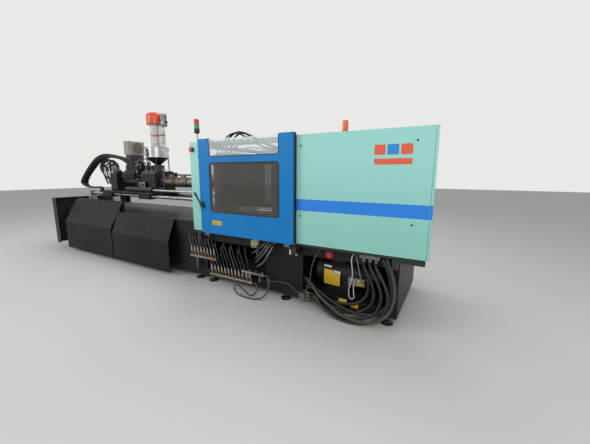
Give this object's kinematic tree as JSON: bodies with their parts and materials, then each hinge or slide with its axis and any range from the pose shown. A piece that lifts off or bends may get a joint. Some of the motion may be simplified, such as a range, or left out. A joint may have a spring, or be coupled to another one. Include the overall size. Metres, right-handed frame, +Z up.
{
  "type": "injection moulding machine",
  "caption": "Horizontal hydraulic injection moulding machine with a sliding safety gate, mint clamp guards, hopper loader and an open injection unit on a dark bed",
  "frame": {"origin": "centre of the bounding box at floor level", "axes": "+X along the machine towards the clamp end, -Y is the operator side, +Z up"},
  "size_m": [6.9, 1.708, 2.5473],
  "materials": {
    "frame_black": "satin black paint with dust",
    "cover_charcoal": "satin charcoal paint with dust",
    "tail_brown": "brown grey paint, dusty",
    "guard_mint": "semi gloss mint paint with a blue stripe",
    "gate_blue": "gloss blue paint",
    "window_tint": "dark tinted glazing",
    "pane_clear": "clear glazing",
    "platen_grey": "painted casting, machined faces",
    "chrome_rod": "hard chrome",
    "ground_steel": "ground steel",
    "dark_steel": "oiled steel",
    "rail_steel": "zinc plated steel",
    "cylinder_black": "semi gloss black paint",
    "post_black": "satin black paint",
    "knob_black": "moulded black plastic",
    "post_white": "white paint",
    "lens_red": "translucent red",
    "lens_green": "translucent green",
    "beacon_orange": "translucent orange",
    "stop_yellow": "moulded yellow",
    "stop_red": "moulded red",
    "saddle_black": "painted black casting",
    "barrel_steel": "heat browned steel",
    "band_steel": "heat stained stainless steel",
    "screw_steel": "nitrided steel",
    "motor_black": "satin black paint with oil",
    "hopper_steel": "spun stainless steel",
    "loader_plastic": "clear plastic tube",
    "cap_orange": "orange red paint",
    "motor_grey": "grey painted aluminium",
    "box_grey": "grey paint",
    "manifold_steel": "galvanised pipe",
    "hose_black": "oily black rubber",
    "hose_grey": "grey rubber",
    "foot_steel": "dark steel"
  },
  "bodies": {
    "machine": {"clamp_frame": "frame_black", "levelling_feet": "foot_steel", "fixed_platen": "platen_grey", "rear_platen": "platen_grey", "tie_bars": "chrome_rod", "tie_bar_nuts": "dark_steel", "clamp_cylinder": "cylinder_black", "guard_frame": "post_black", "gate_rails": "post_black", "clamp_guard_front": "guard_mint", "clamp_guard_rear": "guard_mint", "platen_cover": "guard_mint", "tower_post": "post_white", "tower_red_lens": "lens_red", "tower_green_lens": "lens_green", "beacon": "beacon_orange", "e_stop_body": "stop_yellow", "injection_frame": "frame_black", "front_cover_mid": "cover_charcoal", "front_cover_far": "cover_charcoal", "tail_panel": "tail_brown", "carriage_rails": "ground_steel", "pull_in_rods": "chrome_rod", "pump_motor": "motor_black", "manifolds": "manifold_steel", "hydraulic_hose_1": "hose_black", "hydraulic_hose_2": "hose_black", "hydraulic_hose_3": "hose_black", "mould_hose": "hose_black", "water_loop_hose": "hose_grey"},
    "front_gate": {"front_gate_panel": "gate_blue", "front_gate_window": "window_tint", "front_gate_upper_pane": "pane_clear", "front_gate_brackets": "dark_steel"},
    "gate_lever": {"gate_handle": "knob_black"},
    "rear_gate": {"rear_gate_panel": "gate_blue", "rear_gate_brackets": "dark_steel"},
    "e_stop": {"e_stop_button": "stop_red"},
    "selector": {"selector_knob": "knob_black"},
    "moving_platen_unit": {"moving_platen": "platen_grey", "clamp_ram": "chrome_rod", "ejector_cylinders": "cylinder_black"},
    "ejector": {"ejector_plate": "ground_steel"},
    "carriage": {"carriage_base": "saddle_black", "injection_housing": "saddle_black", "barrel": "barrel_steel", "heater_bands": "band_steel", "injection_cylinders": "motor_black", "pull_in_cylinders": "cylinder_black", "hopper": "hopper_steel", "loader_tube": "loader_plastic", "loader_cap": "cap_orange", "loader_motor": "motor_grey", "terminal_box": "box_grey", "valve_block": "motor_black"},
    "injection_head": {"crosshead": "saddle_black", "screw_motor": "motor_black"},
    "screw_body": {"screw": "screw_steel"},
    "shutter": {"hopper_shutter": "rail_steel"},
    "cabinet_door_leaf": {"cabinet_door": "cover_charcoal"}
  },
  "joints": [
    {"name": "front_gate_slide", "type": "slide", "parent": "machine", "child": "front_gate", "axis": [1, 0, 0], "range_m": [0, 1.24]},
    {"name": "gate_lever_turn", "type": "hinge", "parent": "front_gate", "child": "gate_lever", "pos_m": [0.852, -0.81, 1.114], "axis": [0, 1, 0], "range_deg": [0, 72]},
    {"name": "rear_gate_slide", "type": "slide", "parent": "machine", "child": "rear_gate", "axis": [1, 0, 0], "range_m": [0, 1.24]},
    {"name": "e_stop_press", "type": "slide", "parent": "machine", "child": "e_stop", "axis": [0, 1, 0], "range_m": [0, 0.006]},
    {"name": "selector_turn", "type": "hinge", "parent": "machine", "child": "selector", "pos_m": [0.603, -0.714, 1.86], "axis": [1, 0, 0], "range_deg": [-45, 45]},
    {"name": "platen_slide", "type": "slide", "parent": "machine", "child": "moving_platen_unit", "axis": [1, 0, 0], "range_m": [-0.55, 0]},
    {"name": "ejector_slide", "type": "slide", "parent": "moving_platen_unit", "child": "ejector", "axis": [1, 0, 0], "range_m": [-0.1, 0]},
    {"name": "carriage_slide", "type": "slide", "parent": "machine", "child": "carriage", "axis": [1, 0, 0], "range_m": [-0.35, 0]},
    {"name": "injection_slide", "type": "slide", "parent": "carriage", "child": "injection_head", "axis": [1, 0, 0], "range_m": [-0.22, 0]},
    {"name": "screw_spin", "type": "hinge", "parent": "injection_head", "child": "screw_body", "pos_m": [-1.95, 0, 1.35], "axis": [1, 0, 0], "continuous": true},
    {"name": "shutter_slide", "type": "slide", "parent": "carriage", "child": "shutter", "axis": [0, -1, 0], "range_m": [0, 0.09]},
    {"name": "cabinet_door_swing", "type": "hinge", "parent": "machine", "child": "cabinet_door_leaf", "pos_m": [-2.914, 0.614, 0.47], "axis": [0, 0, 1], "range_deg": [0, 110]}
  ]
}
